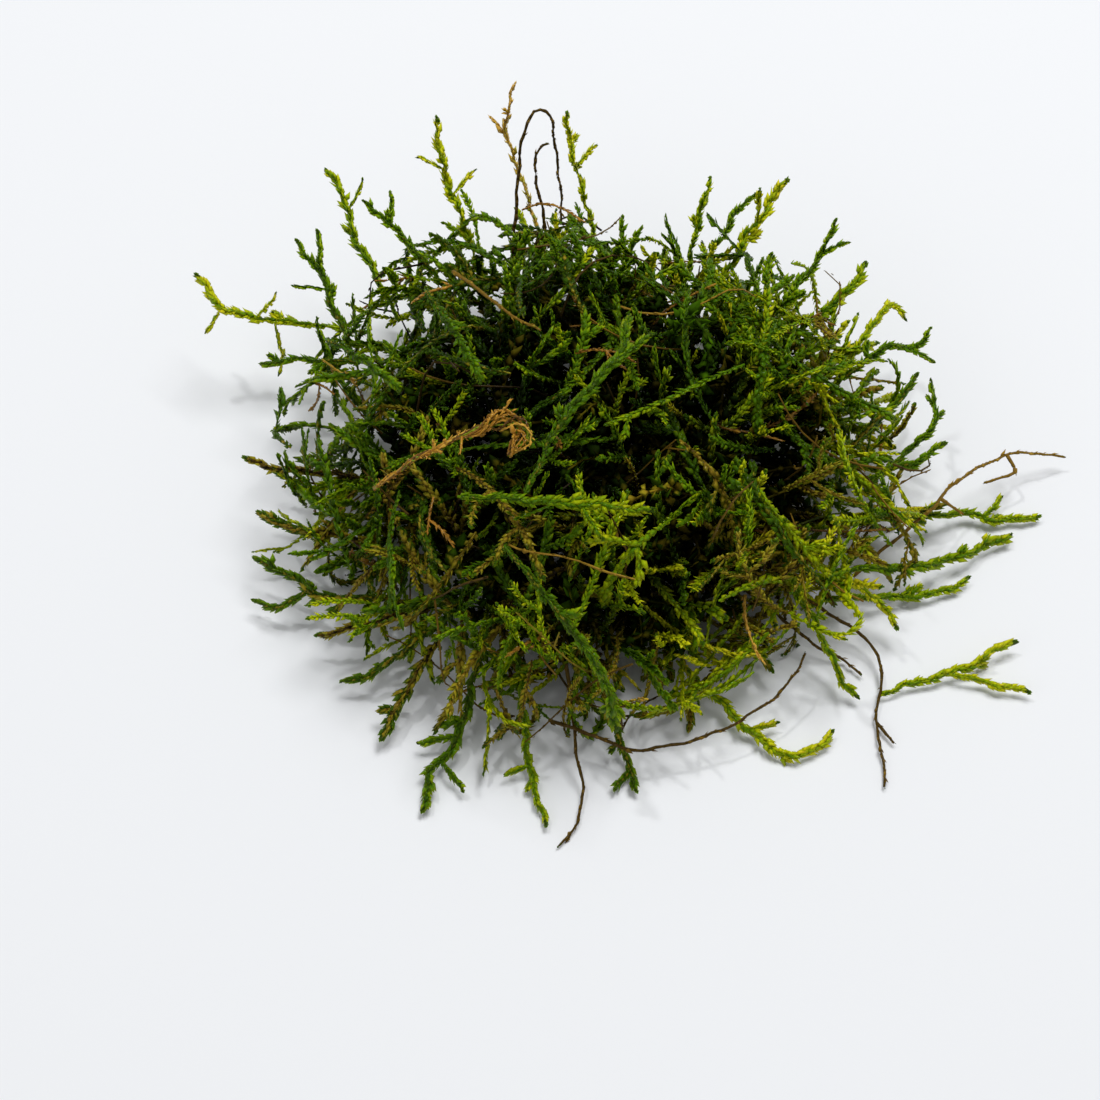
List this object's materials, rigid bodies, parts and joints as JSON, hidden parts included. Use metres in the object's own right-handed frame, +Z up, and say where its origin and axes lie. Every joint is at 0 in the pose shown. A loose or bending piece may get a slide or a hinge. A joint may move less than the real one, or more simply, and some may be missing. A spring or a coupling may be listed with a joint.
{
  "type": "moss clump",
  "caption": "Loose clump of living moss: a rounded mat of tangled leafy shoots with stray shoots, bare old stems and dead strands around it, flat underneath.",
  "frame": {"origin": "centre of the flat underside that the clump rests on", "axes": "+Z up, X along the clump's long way with the long brown stem at +X, -Y towards the front edge with the trailing bare stems"},
  "size_m": [0.0967, 0.0802, 0.0288],
  "materials": {
    "moss_green": "damp leafy moss, soft with small wet glints, mid to deep green",
    "moss_lime": "damp young moss growth, yellow-green, slightly translucent",
    "old_stem": "thin bare stem, dark brown to black-green, matt and finely scaly",
    "dead_strand": "dead curled strand, amber to rust brown, dull"
  },
  "bodies": {
    "root": {"shoot_mat": "moss_green", "far_left_shoot": "moss_green", "left_forked_shoot": "moss_green", "left_knobby_shoot": "moss_lime", "left_upper_shoot": "moss_lime", "left_middle_shoot": "moss_green", "left_low_shoot": "moss_green", "left_thin_shoot": "moss_lime", "left_corner_shoot": "moss_lime", "back_left_shoot": "moss_green", "back_left_thin_shoot": "moss_lime", "tall_back_shoot": "moss_green", "amber_back_strand": "dead_strand", "looped_back_stem": "old_stem", "inner_back_stem": "old_stem", "lime_back_shoot": "moss_lime", "slender_back_shoot": "moss_lime", "dark_back_shoot": "moss_lime", "wide_lime_shoot": "moss_green", "side_back_shoot": "moss_lime", "right_back_shoot": "moss_green", "curled_right_shoot": "moss_lime", "right_upright_shoot": "moss_lime", "right_drooping_shoot": "moss_lime", "right_twiggy_shoot": "moss_lime", "right_short_shoot": "moss_lime", "brown_branched_stem": "old_stem", "right_trailing_shoot": "moss_lime", "right_low_shoot": "moss_green", "right_low_thin_shoot": "moss_lime", "right_corner_shoot": "moss_lime", "long_bare_stem": "old_stem", "short_bare_stem": "old_stem", "lower_right_shoot": "moss_lime", "forked_lime_shoot": "moss_green", "lime_crescent_shoot": "moss_green", "long_dark_stem": "old_stem", "small_front_shoot": "moss_lime", "hanging_bare_stem": "old_stem", "pale_front_shoot": "moss_lime", "front_left_shoot": "moss_green", "front_left_stub": "moss_green", "rust_strand": "dead_strand", "y_shaped_shoot": "moss_green", "bright_band_shoot": "moss_green", "diagonal_front_shoot": "moss_green", "brown_top_strand": "old_stem", "bright_left_shoot": "moss_green", "left_crown_shoot": "moss_green"}
  },
  "joints": []
}
